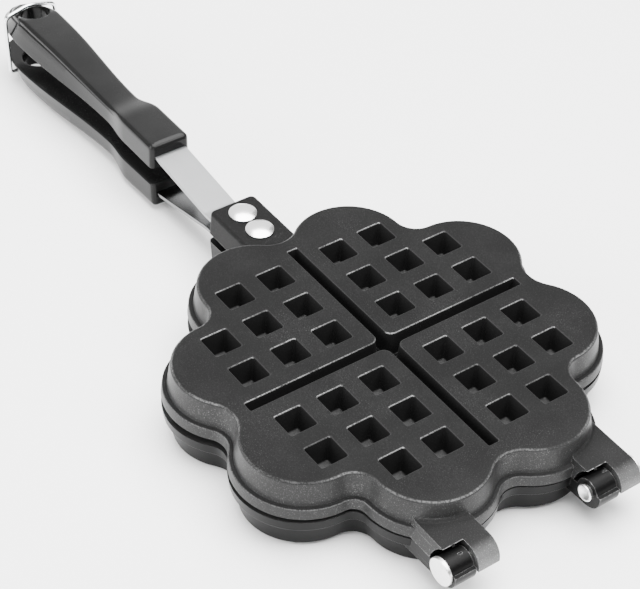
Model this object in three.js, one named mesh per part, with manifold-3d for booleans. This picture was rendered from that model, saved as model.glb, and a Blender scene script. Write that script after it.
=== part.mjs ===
// A stovetop waffle iron: two equal cast pans with a flower outline, hinged at one end, held by two grips.
// Lengths are millimetres, +Z is up, +X runs from the grips to the hinges. The iron lies on its lower pan.
import * as THREE from 'three';
import { mergeVertices } from 'three/addons/utils/BufferGeometryUtils.js';
import Module from 'manifold-3d';

const wasm = await Module();
wasm.setup();

// Clearances
const seatGap = 0.3; // between two pieces that touch
const overrun = 2; // how far a cutter runs past the face it opens

// Flower outline of a pan, at its outer face
const petalCount = 8;
const petalCentreRadius = 62.9;
const petalRadius = 25;
const dividerNotchFillet = 13; // where a divider ends
const heartNotchFillet = 9.5; // between the two lobes of one heart

// Pan casting, heights counted outward from the seam
const panHeight = 15.8;
const plateThickness = 3;
const topEdgeRadius = 1.4;
const flangeHeight = 4.9;
const flangeSpread = 3.9; // how far the flange stands out past the outer face
const flangeDraft = 0.4;
const flangeEdgeRadius = 0.5;
const wallDraft = 1.3;
const coveRadius = 0.7;
const rimLand = 5; // flat land of the flange at the seam
const cavityDraft = 1.6;

// Pegs of the mould, hollow from outside
const pegPitch = 20;
const firstPeg = 16; // from a divider's middle to the first row of pegs
const rowsPerHeart = 3;
const pocketWidth = 12.7;
const pocketCorner = 0.9;
const pocketSlope = 0.14; // sideways per unit of depth
const pegWall = 2.1;
const pegTipDrop = 2.5; // from the seam to a peg's tip
const pegTipThickness = 2.4;

// Dividers of the mould, a cross of hollow ribs
const grooveWidth = 4.8;
const grooveLength = 135.6;
const grooveSlope = 0.07;
const grooveCrossFillet = 3.6;
const grooveEndCorner = 0.6;
const ribWall = 2.3;
const ribTipDrop = 0.8;
const ribTipThickness = 2.2;

// Handle lug, part of each pan
const lugReach = 35.6; // how far it stands out past the flange
const lugLength = notchRadiusOnAxis(flangeSpread) + lugReach; // from the pan's middle to the lug's end
const lugWidth = 23;
const lugFlare = 1.4; // widening from its outer face to its foot
const lugTop = 10.1;
const lugSink = 1; // how far it reaches past the seam plane
const lugSinkStart = 83;
const lugEdgeRadius = 1.6;
const lugCorner = 2.6;
const lugFootWidth = 36; // where the lug spreads into the flange
const lugFootLength = 15;

// Hinges
const hingeAxis = 96; // from the pan's middle
const hingeSpread = 35; // from the middle line to the joint between two knuckles
const knuckleWidth = 10;
const knuckleRadius = 7.2; // of the half cast with its own pan, and the height of the hinge lug
const knuckleMilledRadius = 5.6; // of the half that faces the other pan
const knuckleWrap = 1.4; // how far the cast half reaches past the seam plane
const knuckleSideGap = 1;
const notchRadius = 7.8; // clearance round the other pan's knuckle
const notchSideWidth = 8.9;
const notchSideFlare = 2;
const hingeSeamGap = 0.2; // from the seam plane to each hinge lug
const hingeRoot = 68; // from the pan's middle, inside the casting
const pinRadius = 3;
const pinHeadRadius = 5.9;
const pinHeadHeight = 1.5;
const pinHeadEdge = 0.4;
const pinTailRadius = 3.7;
const pinTailHeight = 1.5;
const pinTailDimple = 0.9;
const openAtRest = 1.8; // degrees that the upper pan stands open on its rivet tails

// Flat steel straps
const strapWidth = 16;
const strapThickness = 2;
const strapHold = 29.6; // how much of a strap lies under its lug
const strapLevel = 9; // from the lug's end to the first bend
const strapSlope = 41; // from the first bend to the grip
const strapInnerEnd = lugLength - strapHold; // from the pan's middle
const strapFirstBend = lugLength + strapLevel;
const strapNose = strapFirstBend + strapSlope; // where it enters the grip
const strapBendLead = 1; // from the strap's second bend to the grip
const strapBendRadius = 6;
const strapRise = { upper: 4.9, lower: 6.6 }; // from the lug to the grip
const tangWidth = 11;
const tangShoulder = 5; // how deep the full width enters the grip
const tangHole = 5.2;
const lowerArmSag = 0.9; // degrees that the lower arm is bent further out

// Rivets of the straps
const rivetInsets = { inner: 22.6, outer: 9.4 }; // from the lug's end
const rivetPlaces = { inner: lugLength - rivetInsets.inner, outer: lugLength - rivetInsets.outer };
const rivetShank = 4.6;
const rivetHead = 12.4;
const rivetHeadHeight = 1.9;
const rivetTail = 8;
const rivetTailHeight = 0.8;

// Grips, measured from the nose to the rear and outward from the middle of the tang
const gripLength = 150;
const gripInner = 5.8; // from the tang's middle to the inner face
const gripShoulder = 2.6;
const gripInnerEdge = 0.8;
const gripNoseCorner = 2.4;
const gripCrown = 0.5;
const gripCrownRun = 4; // from an edge of the outer face to where the crown is full
const gripCapLength = 30; // the rounded rear end
const gripFall = 8.2; // of the outer face over the rounded rear end
const gripFallPower = 1.1;
const gripCapPower = 0.95; // under one squares the rear end off
const gripRake = 5; // how far the rear end leans forward from the inner face to the outer one
const noseWidth = 20.6;
const noseHeight = 7.1;
const noseFlare = 0.4;
const noseEnd = 25;
const waistPlace = 43;
const waistWidth = 17;
const waistHeight = 4;
const waistFlare = 1.2;
const heelInset = 46; // from the rear end to where the grip is deepest
const heelPlace = gripLength - heelInset;
const rearWidth = 26.6;
const rearHeight = 7.4;
const rearFlare = 6.6;
const hangingHoleInset = 23.2; // from the rear end to the hole's middle
const hangingHole = { place: gripLength - hangingHoleInset, length: 16.6, width: 15 };
const hangingHoleChamfer = 0.8;

// Tang of a strap inside its grip, measured from the grip's nose
const tangInset = 52; // from the tang's end to the grip's rear end
const tangLength = gripLength - tangInset;
const frontKey = 32; // the first hole of the tang
const rearKeyInset = 20; // from the tang's end to its second hole
const tangHoles = [frontKey, tangLength - rearKeyInset];

// Wire bail and its seat in the lower grip
const wire = 2;
const bailInset = 19; // from the rear end of the lower grip
const bailPlace = gripLength - bailInset;
const bailSeat = 0.6; // outward from the middle of the tang
const bailSeatDepth = 3.6;
const bailLegGap = 27.6; // between the middles of the two legs
const bailReach = 16.1; // what the legs span besides the spread of the two arms
const bailArch = 3.4; // how far the crossbar bows at its middle
const bailFootBend = 1.6;
const bailBend = 3.2;
const tiltSpread = (hingeAxis + strapNose + bailPlace) * Math.sin(THREE.MathUtils.degToRad(openAtRest));
const sagSpread = (strapSlope + bailPlace) * Math.sin(THREE.MathUtils.degToRad(lowerArmSag));
const bailLegLength = bailReach + tiltSpread + sagSpread;

// Counts of facets
const petalSteps = 9;
const notchSteps = 3;
const roundSteps = 16;
const topEdgeSteps = 2;
const cornerSteps = 3;
const pegCornerSteps = 1;
const gripSideSteps = 14;
const gripCapSteps = 8;
const bailSteps = 36;
const wireSides = 8;

// Looks
const castDark = { color: 0x3c3c3d, roughness: 0.62, metalness: 0.5 };
const castLower = { color: 0x2c2c2d, roughness: 0.5, metalness: 0.5 };
const phenolic = { color: 0x141415, roughness: 0.22, metalness: 0 };
const satinSteel = { color: 0xc9cacb, roughness: 0.38, metalness: 1 };
const aluminium = { color: 0xdedfde, roughness: 0.3, metalness: 1 };
const brightSteel = { color: 0xe4e4e0, roughness: 0.16, metalness: 1 };

// Solids from geometries, for cutting and joining
function solid(geometry) {
  const bare = geometry.clone();
  for (const name of ['normal', 'uv']) bare.deleteAttribute(name);
  const merged = mergeVertices(bare.index ? bare.toNonIndexed() : bare);
  return new wasm.Manifold(new wasm.Mesh({
    numProp: 3,
    vertProperties: new Float32Array(merged.attributes.position.array),
    triVerts: new Uint32Array(merged.index.array),
  }));
}

function geometryOf(body) {
  const { vertProperties, triVerts, numProp } = body.getMesh();
  const places = new Float32Array(vertProperties.length / numProp * 3);
  for (let i = 0; i < places.length / 3; i++) {
    places.set(vertProperties.subarray(i * numProp, i * numProp + 3), i * 3);
  }
  const geometry = new THREE.BufferGeometry();
  geometry.setAttribute('position', new THREE.BufferAttribute(places, 3));
  geometry.setIndex(new THREE.BufferAttribute(new Uint32Array(triVerts), 1));
  geometry.computeVertexNormals();
  return geometry;
}

function meshOf(name, body, look) {
  const mesh = new THREE.Mesh(geometryOf(body), new THREE.MeshStandardMaterial(look));
  mesh.name = name;
  return mesh;
}

// A closed skin over rings of equal length, the first and last ring closed by fans from their middles
function loft(rings) {
  const count = rings[0].length;
  const places = [];
  const faces = [];
  for (const ring of rings) for (const p of ring) places.push(p.x, p.y, p.z);
  for (let k = 0; k + 1 < rings.length; k++) {
    for (let i = 0; i < count; i++) {
      const next = (i + 1) % count;
      const [a, b] = [k * count + i, k * count + next];
      const [c, d] = [a + count, b + count];
      faces.push(a, b, d, a, d, c);
    }
  }
  for (const [k, turned] of [[0, true], [rings.length - 1, false]]) {
    const middle = places.length / 3;
    const centre = rings[k].reduce((sum, p) => sum.add(p), new THREE.Vector3()).divideScalar(count);
    places.push(centre.x, centre.y, centre.z);
    for (let i = 0; i < count; i++) {
      const [a, b] = [k * count + i, k * count + (i + 1) % count];
      faces.push(...(turned ? [middle, b, a] : [middle, a, b]));
    }
  }
  const geometry = new THREE.BufferGeometry();
  geometry.setAttribute('position', new THREE.Float32BufferAttribute(places, 3));
  geometry.setIndex(faces);
  return solid(geometry);
}

function raised(points, height) {
  return points.map((p) => new THREE.Vector3(p.x, p.y, height));
}

function arc(x, y, radius, from, to, steps) {
  return Array.from({ length: steps + 1 }, (_, i) => {
    const angle = from + (to - from) * i / steps;
    return new THREE.Vector2(x + radius * Math.cos(angle), y + radius * Math.sin(angle));
  });
}

function slab(points, depth) {
  return new THREE.ExtrudeGeometry(new THREE.Shape(points), { depth, bevelEnabled: false });
}

// A prism of a flat outline between two heights along Z
function prism(points, bottom, top) {
  return solid(slab(points, top - bottom).translate(0, 0, bottom));
}

// A prism of an outline drawn in X and Z, between two places along Y
function sidePrism(points, near, far) {
  return solid(slab(points, far - near).rotateX(Math.PI / 2).translate(0, far, 0));
}

// A prism of an outline drawn in Y and Z, between two places along X
function frontPrism(points, back, front) {
  const geometry = slab(points, front - back).rotateX(Math.PI / 2).rotateZ(Math.PI / 2);
  return solid(geometry.translate(back, 0, 0));
}

function rectangle(x0, x1, y0, y1) {
  return [[x0, y0], [x1, y0], [x1, y1], [x0, y1]].map(([x, y]) => new THREE.Vector2(x, y));
}

function roundedRectangle(halfX, halfY, corner, steps = cornerSteps) {
  const [x, y] = [halfX - corner, halfY - corner];
  const quarter = Math.PI / 2;
  return [[x, y], [-x, y], [-x, -y], [x, -y]].flatMap(([cx, cy], i) =>
    arc(cx, cy, corner, i * quarter, (i + 1) * quarter, steps));
}

function uprightCylinder(radius, bottom, top, steps = roundSteps) {
  const geometry = new THREE.CylinderGeometry(radius, radius, top - bottom, steps);
  return solid(geometry.rotateX(Math.PI / 2).translate(0, 0, (bottom + top) / 2));
}

// A body turned about Z from a profile of radius and height
function turned(profile, steps = roundSteps) {
  const points = profile.map(([r, h]) => new THREE.Vector2(r, h));
  return solid(new THREE.LatheGeometry(points, steps).rotateX(Math.PI / 2));
}

// The flower outline, grown outward by a given amount
function notchAt(index) {
  // petals lie half a step off the axes, so even notches end a divider
  const fillet = index % 2 === 0 ? dividerNotchFillet : heartNotchFillet;
  const halfStep = Math.PI / petalCount;
  const reach = petalCentreRadius * Math.cos(halfStep);
  const halfChord = petalCentreRadius * Math.sin(halfStep);
  const hypotenuse = petalRadius + fillet;
  const spread = Math.acos(halfChord / hypotenuse);
  return { fillet, spread, distance: reach + hypotenuse * Math.sin(spread), angle: 2 * halfStep * index };
}

function flower(growth) {
  const halfStep = Math.PI / petalCount;
  const points = [];
  for (let k = 0; k < petalCount; k++) {
    const [before, after] = [notchAt(k), notchAt(k + 1)];
    const heading = halfStep * (2 * k + 1);
    const lean = Math.PI / 2 + halfStep;
    const centre = [petalCentreRadius * Math.cos(heading), petalCentreRadius * Math.sin(heading)];
    const [from, to] = [heading - lean + before.spread, heading + lean - after.spread];
    points.push(...arc(...centre, petalRadius + growth, from, to, petalSteps));
    const notchCentre = [after.distance * Math.cos(after.angle), after.distance * Math.sin(after.angle)];
    const half = Math.PI / 2 - after.spread;
    const concave = arc(...notchCentre, after.fillet - growth, after.angle + Math.PI + half,
      after.angle + Math.PI - half, notchSteps);
    points.push(...concave.slice(1, -1));
  }
  return points;
}

function notchRadiusOnAxis(growth) {
  const { distance, fillet } = notchAt(0);
  return distance - (fillet - growth);
}

// Outer form of a pan: flange, cove, drafted wall and rounded edge
function panOutside() {
  const foot = wallDraft;
  const levels = [
    [0, flangeSpread],
    [flangeHeight - flangeEdgeRadius, flangeSpread - flangeDraft],
    [flangeHeight, flangeSpread - flangeDraft - flangeEdgeRadius],
    [flangeHeight, foot + coveRadius],
    [flangeHeight + coveRadius, foot],
    [panHeight - topEdgeRadius, 0],
  ];
  for (let i = 1; i <= topEdgeSteps; i++) {
    const angle = Math.PI / 2 * i / topEdgeSteps;
    levels.push([panHeight - topEdgeRadius * (1 - Math.sin(angle)), -topEdgeRadius * (1 - Math.cos(angle))]);
  }
  return loft(levels.map(([height, growth]) => raised(flower(growth), height)));
}

function panCavity() {
  const mouth = flangeSpread - rimLand;
  const floor = panHeight - plateThickness;
  const slope = cavityDraft / floor;
  return loft([
    raised(flower(mouth + slope * overrun), -overrun),
    raised(flower(mouth - cavityDraft), floor),
  ]);
}

function square(half, corner, height) {
  return raised(roundedRectangle(half, half, corner, pegCornerSteps), height);
}

// A hollow peg stands in the mould, and its hollow opens in the outer face
function pegPlaces() {
  const places = [];
  for (const sideX of [-1, 1]) {
    for (const sideY of [-1, 1]) {
      for (let i = 0; i < rowsPerHeart; i++) {
        for (let j = 0; j < rowsPerHeart; j++) {
          const outerCorner = i === rowsPerHeart - 1 && j === rowsPerHeart - 1;
          const place = [sideX * (firstPeg + i * pegPitch), sideY * (firstPeg + j * pegPitch)];
          if (!outerCorner) places.push(place);
        }
      }
    }
  }
  return places;
}

function pocketHalfAt(height) {
  return pocketWidth / 2 - pocketSlope * (panHeight - height);
}

function peg() {
  const base = panHeight - plateThickness / 2;
  const halfAt = (height) => pocketHalfAt(height) + pegWall;
  return loft([
    square(halfAt(pegTipDrop), pocketCorner + pegWall / 2, pegTipDrop),
    square(halfAt(base), pocketCorner + pegWall / 2, base),
  ]);
}

function pocket() {
  const bottom = pegTipDrop + pegTipThickness;
  const top = panHeight + overrun;
  return loft([bottom, top].map((height) => square(pocketHalfAt(height), pocketCorner, height)));
}

// The outline of a cross with filleted inner corners and slightly rounded ends
function cross(halfWidth, halfLength, fillet, corner) {
  const inner = halfWidth + fillet;
  const quarter = Math.PI / 2;
  const arm = [
    ...arc(halfLength - corner, halfWidth - corner, corner, 0, quarter, 1),
    ...arc(inner, inner, fillet, -quarter, -2 * quarter, cornerSteps),
  ];
  return [0, 1, 2, 3].flatMap((turn) => [
    ...arc(halfLength - corner, corner - halfWidth, corner, -quarter, 0, 1),
    ...arm,
  ].map((p) => p.clone().rotateAround(new THREE.Vector2(), turn * quarter)));
}

function groove() {
  const bottom = ribTipDrop + ribTipThickness;
  const section = (height) => {
    const inset = grooveSlope * (panHeight - height);
    const [half, reach] = [grooveWidth / 2 - inset, grooveLength / 2 - inset];
    return raised(cross(half, reach, grooveCrossFillet, grooveEndCorner), height);
  };
  return loft([section(bottom), section(panHeight + overrun)]);
}

function divider() {
  const base = panHeight - plateThickness / 2;
  const reach = notchRadiusOnAxis(-topEdgeRadius) - ribWall / 2;
  const section = (height) => {
    const half = grooveWidth / 2 - grooveSlope * (panHeight - height) + ribWall;
    return raised(cross(half, reach, grooveCrossFillet, grooveEndCorner), height);
  };
  return loft([section(ribTipDrop), section(base)]);
}

// The lug that carries the strap, with rounded outer edges and rear corners
function handleLug() {
  const front = notchRadiusOnAxis(-topEdgeRadius);
  const ring = (height, inset) => {
    const share = (lugTop - height) / lugTop;
    const half = lugWidth / 2 + lugFlare / 2 * share - inset;
    const rear = -lugLength + inset;
    const corner = lugCorner - inset;
    const rearCorners = [
      ...arc(rear + corner, half - corner, corner, Math.PI / 2, Math.PI, cornerSteps),
      ...arc(rear + corner, corner - half, corner, Math.PI, Math.PI * 1.5, cornerSteps),
    ];
    const frontCorners = [-half, half].map((y) => new THREE.Vector2(-front, y));
    return raised([...rearCorners, ...frontCorners], height);
  };
  const rings = [ring(-lugSink, 0), ring(lugTop - lugEdgeRadius, 0)];
  for (let i = 1; i <= cornerSteps; i++) {
    const angle = Math.PI / 2 * i / cornerSteps;
    const [drop, inset] = [1 - Math.sin(angle), 1 - Math.cos(angle)].map((share) => share * lugEdgeRadius);
    rings.push(ring(lugTop - drop, inset));
  }
  const half = lugWidth / 2 + lugFlare;
  const relief = prism(rectangle(-lugSinkStart, 0, -half, half), -lugSink - overrun, 0);
  const root = -notchRadiusOnAxis(flangeSpread);
  const [wide, slim] = [lugFootWidth / 2, lugWidth / 2];
  const foot = [[root - lugFootLength, -slim], [root - lugFootLength, slim], [root, wide], [root, -wide]]
    .map(([x, y]) => new THREE.Vector2(x, y));
  const web = prism(foot, 0, flangeHeight - flangeEdgeRadius);
  return loft(rings).subtract(relief).add(web);
}

function handleLugCuts() {
  const half = strapWidth / 2 + seatGap;
  const roof = strapThickness / 2 + seatGap;
  const channel = prism(rectangle(-lugLength - overrun, -strapInnerEnd + seatGap, -half, half),
    -lugSink - overrun, roof);
  const holes = Object.values(rivetPlaces).map((place) =>
    uprightCylinder(rivetShank / 2 + seatGap, -overrun, lugTop + overrun).translate(-place, 0, 0));
  return channel.add(wasm.Manifold.union(holes));
}

function disc(radius, from = 0, to = 2 * Math.PI, steps = roundSteps) {
  return arc(hingeAxis, 0, radius, from, to, steps);
}

// One hinge lug: a knuckle beyond the joint plane, and before it a notch for the other pan's knuckle
function hingeLug(joint) {
  const knuckleNear = joint + knuckleSideGap / 2;
  const knuckleFar = knuckleNear + knuckleWidth;
  const plate = rectangle(hingeRoot, hingeAxis, hingeSeamGap, knuckleRadius);
  const castHalf = sidePrism([
    new THREE.Vector2(hingeAxis, -knuckleWrap),
    new THREE.Vector2(hingeAxis + knuckleRadius, -knuckleWrap),
    ...disc(knuckleRadius, 0, Math.PI / 2, roundSteps / 2),
  ], knuckleNear, knuckleFar);
  const milledHalf = sidePrism(disc(knuckleMilledRadius).slice(0, -1), knuckleNear, knuckleFar);
  const web = sidePrism(plate, knuckleNear, knuckleFar);
  const nearEdge = joint - notchSideWidth;
  const nearSection = [
    new THREE.Vector2(nearEdge - notchSideFlare, hingeSeamGap),
    new THREE.Vector2(knuckleNear, hingeSeamGap),
    new THREE.Vector2(knuckleNear, knuckleRadius),
    new THREE.Vector2(nearEdge, knuckleRadius),
  ];
  const nearSide = frontPrism(nearSection, hingeRoot, hingeAxis);
  const notch = sidePrism(disc(notchRadius).slice(0, -1), nearEdge - notchSideFlare - overrun, knuckleNear);
  return castHalf.add(milledHalf).add(web).add(nearSide.subtract(notch));
}

function hingeBores() {
  const reach = hingeSpread + 2 * knuckleWidth;
  return sidePrism(disc(pinRadius + seatGap).slice(0, -1), -reach, reach);
}

function panCasting() {
  const hinges = [-hingeSpread, hingeSpread].map(hingeLug);
  const shell = wasm.Manifold.union([panOutside(), handleLug(), ...hinges]);
  const pegs = pegPlaces().map(([x, y]) => peg().translate(x, y, 0));
  const pockets = pegPlaces().map(([x, y]) => pocket().translate(x, y, 0));
  const mould = wasm.Manifold.union([divider(), ...pegs]);
  const cuts = wasm.Manifold.union([groove(), handleLugCuts(), hingeBores(), ...pockets]);
  return shell.subtract(panCavity()).add(mould).subtract(cuts);
}

// What lies beyond the strap's first bend is turned about that bend, outward by a number of degrees
function bentOut(body, sag) {
  return body.translate(strapFirstBend, 0, 0).rotate([0, sag, 0]).translate(-strapFirstBend, 0, 0);
}

function nosePlace({ rise, sag }) {
  const place = new THREE.Vector3(strapFirstBend - strapNose, 0, rise);
  place.applyAxisAngle(new THREE.Vector3(0, 1, 0), THREE.MathUtils.degToRad(sag));
  return place.setX(place.x - strapFirstBend);
}

// The strap's side outline: flat under the lug, bent up to the grip, then straight inside it
function strapOutline(bend) {
  const half = strapThickness / 2;
  const turn = THREE.MathUtils.degToRad(bend.sag);
  const nose = nosePlace(bend);
  const tang = new THREE.Vector2(-tangLength, 0).rotateAround(new THREE.Vector2(), -turn);
  const lead = tang.clone().setLength(strapBendLead);
  const stations = [
    new THREE.Vector2(-strapInnerEnd, 0),
    new THREE.Vector2(-strapFirstBend, 0),
    new THREE.Vector2(nose.x, nose.z).sub(lead),
    new THREE.Vector2(nose.x, nose.z).add(tang),
  ];
  const face = (side) => stations.map((p, i) => {
    const into = p.clone().sub(stations[Math.max(i - 1, 0)]).normalize();
    const out = stations[Math.min(i + 1, stations.length - 1)].clone().sub(p).normalize();
    const [first, last] = [i === 0, i === stations.length - 1];
    const along = first ? out : last ? into : into.clone().add(out).normalize();
    const across = new THREE.Vector2(along.y, -along.x).multiplyScalar(side * half);
    return p.clone().add(across);
  });
  return [...face(-1), ...face(1).reverse()];
}

function softened(points, radius) {
  // the bends are rounded by a short chord on each side of their corner
  const rounded = [];
  points.forEach((p, i) => {
    const before = points.at(i - 1);
    const after = points[(i + 1) % points.length];
    const [toBefore, toAfter] = [before.clone().sub(p), after.clone().sub(p)];
    const turn = Math.PI - Math.abs(toBefore.angleTo(toAfter));
    const cut = radius * Math.tan(turn / 2);
    const isBend = turn < Math.PI / 4;
    if (!isBend) rounded.push(p);
    else rounded.push(p.clone().add(toBefore.setLength(cut)), p.clone().add(toAfter.setLength(cut)));
  });
  return rounded;
}

function strap(bend) {
  const { rise, sag } = bend;
  const bar = sidePrism(softened(strapOutline(bend), strapBendRadius), -strapWidth / 2, strapWidth / 2);
  const shoulder = nosePlace(bend).x - tangShoulder;
  const end = nosePlace(bend).x - tangLength;
  const [wide, slim] = [strapWidth / 2, tangWidth / 2];
  const plan = [
    [-strapInnerEnd, -wide],
    [-strapInnerEnd, wide],
    [shoulder, wide],
    [shoulder, slim],
    [end, slim],
    [end, -slim],
    [shoulder, -slim],
    [shoulder, -wide],
  ].map(([x, y]) => new THREE.Vector2(x, y));
  const stack = prism(plan, -strapThickness - overrun, 2 * rise + strapThickness + overrun);
  const rivetHoles = Object.values(rivetPlaces).map((place) =>
    uprightCylinder(rivetShank / 2 + seatGap, -strapThickness, strapThickness).translate(-place, 0, 0));
  const keyHoles = tangHoles.map((place) =>
    uprightCylinder(tangHole / 2, rise - strapThickness, rise + strapThickness)
      .translate(-strapNose - place, 0, 0));
  const keys = bentOut(wasm.Manifold.union(keyHoles), sag);
  return bar.intersect(stack).subtract(keys.add(wasm.Manifold.union(rivetHoles)));
}

// A low-domed rivet through lug and strap, its tail set under the strap
function rivet() {
  const head = rivetHead / 2;
  const shank = rivetShank / 2;
  const tail = rivetTail / 2;
  const headSeat = lugTop + seatGap;
  const tailSeat = -strapThickness / 2 - seatGap;
  const tailEnd = tailSeat - rivetTailHeight;
  const domeRadius = (head * head + rivetHeadHeight * rivetHeadHeight) / (2 * rivetHeadHeight);
  const domeCentre = headSeat + rivetHeadHeight - domeRadius;
  const domeAngle = Math.asin(head / domeRadius);
  const dome = Array.from({ length: cornerSteps + 1 }, (_, i) => {
    const angle = domeAngle * (1 - i / (cornerSteps + 1));
    return [domeRadius * Math.sin(angle), domeCentre + domeRadius * Math.cos(angle)];
  });
  return turned([
    [0, tailEnd],
    [tail - rivetTailHeight / 2, tailEnd],
    [tail, tailEnd + rivetTailHeight / 2],
    [tail, tailSeat],
    [shank, tailSeat],
    [shank, headSeat],
    ...dome,
    [0, headSeat + rivetHeadHeight],
  ]);
}

// Share of the way from one place to another, eased at both ends
function eased(place, from, to) {
  const share = Math.min(1, Math.max(0, (place - from) / (to - from)));
  return (1 - Math.cos(Math.PI * share)) / 2;
}

// A grip's size at a place along it: even over the nose, drawn in at the waist, swelling to the rear
function alongGrip(place, nose, waist, rear) {
  const toWaist = eased(place, noseEnd, waistPlace);
  const toRear = eased(place, waistPlace, heelPlace + gripCapLength / 2);
  return nose + (waist - nose) * toWaist + (rear - waist) * toRear;
}

function gripHeight(place) {
  const toWaist = eased(place, noseEnd, waistPlace);
  const toRear = eased(place, waistPlace, heelPlace);
  const capShare = Math.max(0, (place - gripLength + gripCapLength) / gripCapLength);
  const even = noseHeight + (waistHeight - noseHeight) * toWaist + (rearHeight - waistHeight) * toRear;
  return even - gripFall * capShare ** gripFallPower;
}

// One outline of the grip, drawn in by an inset; the share runs from the inner face to the outer one
function gripRing(share, inset, heightAt) {
  const halfAt = (place) => {
    const base = alongGrip(place, noseWidth, waistWidth, rearWidth) / 2;
    const flare = alongGrip(place, noseFlare, waistFlare, rearFlare) / 2;
    return base - flare * share - inset;
  };
  const capStart = gripLength - gripCapLength;
  const corner = Math.max(gripNoseCorner - inset, gripInnerEdge);
  const side = arc(inset + corner, halfAt(0) - corner, corner, Math.PI, Math.PI / 2, cornerSteps);
  for (let i = 1; i < gripSideSteps; i++) {
    const place = inset + corner + (capStart - inset - corner) * i / gripSideSteps;
    side.push(new THREE.Vector2(place, halfAt(place)));
  }
  const [capLong, capHalf] = [gripCapLength - inset - gripRake * share, halfAt(capStart)];
  for (let i = 0; i <= gripCapSteps; i++) {
    const angle = Math.PI / 2 * i / gripCapSteps;
    const [along, across] = [Math.sin(angle) ** gripCapPower, Math.cos(angle) ** gripCapPower];
    side.push(new THREE.Vector2(capStart + capLong * along, capHalf * across));
  }
  const tip = side.pop();
  tip.y = 0;
  const mirrored = side.slice().reverse().map((p) => new THREE.Vector2(p.x, -p.y));
  return [...side, tip, ...mirrored].map((p) => new THREE.Vector3(-p.x, p.y, heightAt(p.x, share)));
}

// The grip's skin: rings joined at the sides, with ribbons across its inner and outer faces
function gripSkin() {
  const level = (depth) => (place, share) => -gripInner + share * (gripHeight(place) + gripInner) - depth;
  const rings = [gripRing(0, gripInnerEdge, level(0)), gripRing(0, 0, level(-gripInnerEdge))];
  for (let i = 0; i <= cornerSteps; i++) {
    const angle = Math.PI / 2 * i / cornerSteps;
    const inset = gripShoulder * (1 - Math.cos(angle));
    rings.push(gripRing(1, inset, level(gripShoulder * (1 - Math.sin(angle)))));
  }
  const count = rings[0].length;
  const places = rings.flatMap((ring) => ring.flatMap((p) => [p.x, p.y, p.z]));
  const faces = [];
  for (let k = 0; k + 1 < rings.length; k++) {
    for (let i = 0; i < count; i++) {
      const next = (i + 1) % count;
      const [a, b] = [k * count + i, k * count + next];
      faces.push(a, b, b + count, a, b + count, a + count);
    }
  }
  // crown line on the outer face, over the middle of each pair of facing points
  const last = (rings.length - 1) * count;
  const half = (count - 1) / 2;
  const crown = [];
  for (let i = 0; i < half; i++) {
    const p = rings.at(-1)[i];
    crown.push(places.length / 3);
    places.push(p.x, 0, p.z + gripCrown * Math.min(1, Math.abs(p.y) / gripCrownRun));
  }
  crown.push(last + half);
  for (let i = 0; i < half; i++) {
    const [a, b, mirrorA, mirrorB] = [last + i, last + i + 1, last + count - 1 - i, last + count - 2 - i];
    faces.push(a, b, crown[i], crown[i], mirrorB, mirrorA);
    if (i < half - 1) faces.push(b, crown[i + 1], crown[i], crown[i], crown[i + 1], mirrorB);
    const [p, q, mirrorP, mirrorQ] = [i, i + 1, count - 1 - i, count - 2 - i];
    faces.push(p, mirrorP, q);
    if (i < half - 1) faces.push(q, mirrorP, mirrorQ);
  }
  faces.push(last, crown[0], last + count - 1);
  const geometry = new THREE.BufferGeometry();
  geometry.setAttribute('position', new THREE.Float32BufferAttribute(places, 3));
  geometry.setIndex(faces);
  return solid(geometry);
}

function grip(hasBailSeat) {
  const slotHalf = strapThickness / 2 + seatGap;
  const [wide, slim] = [strapWidth / 2 + seatGap, tangWidth / 2 + seatGap];
  const mouth = prism(rectangle(-tangShoulder - seatGap, overrun, -wide, wide), -slotHalf, slotHalf);
  const slot = prism(rectangle(-tangLength - seatGap, overrun, -slim, slim), -slotHalf, slotHalf);
  const keys = tangHoles.map((place) =>
    uprightCylinder(tangHole / 2 - seatGap, -slotHalf - seatGap, slotHalf + seatGap)
      .translate(-place, 0, 0));
  const hole = loft([
    holeRing(0, () => -gripInner - overrun),
    holeRing(0, (place) => gripHeight(place) - hangingHoleChamfer),
    holeRing(hangingHoleChamfer + overrun, (place) => gripHeight(place) + overrun),
  ]);
  let body = gripSkin().subtract(mouth.add(slot)).add(wasm.Manifold.union(keys));
  body = body.subtract(hole.translate(-hangingHole.place, 0, 0));
  if (!hasBailSeat) return body;
  const reach = rearWidth;
  const seat = new THREE.CylinderGeometry(wire / 2 + seatGap, wire / 2 + seatGap, 2 * reach, roundSteps);
  return body.subtract(solid(seat.translate(-bailPlace, 0, bailSeat)));
}

// One ring of the hanging hole, whose rim follows the grip's outer face
function holeRing(growth, heightAt) {
  const [halfX, halfY] = [hangingHole.length / 2 + growth, hangingHole.width / 2 + growth];
  return Array.from({ length: roundSteps }, (_, i) => {
    const angle = 2 * Math.PI * i / roundSteps;
    const x = halfX * Math.cos(angle);
    return new THREE.Vector3(x, halfY * Math.sin(angle), heightAt(hangingHole.place - x));
  });
}

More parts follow.
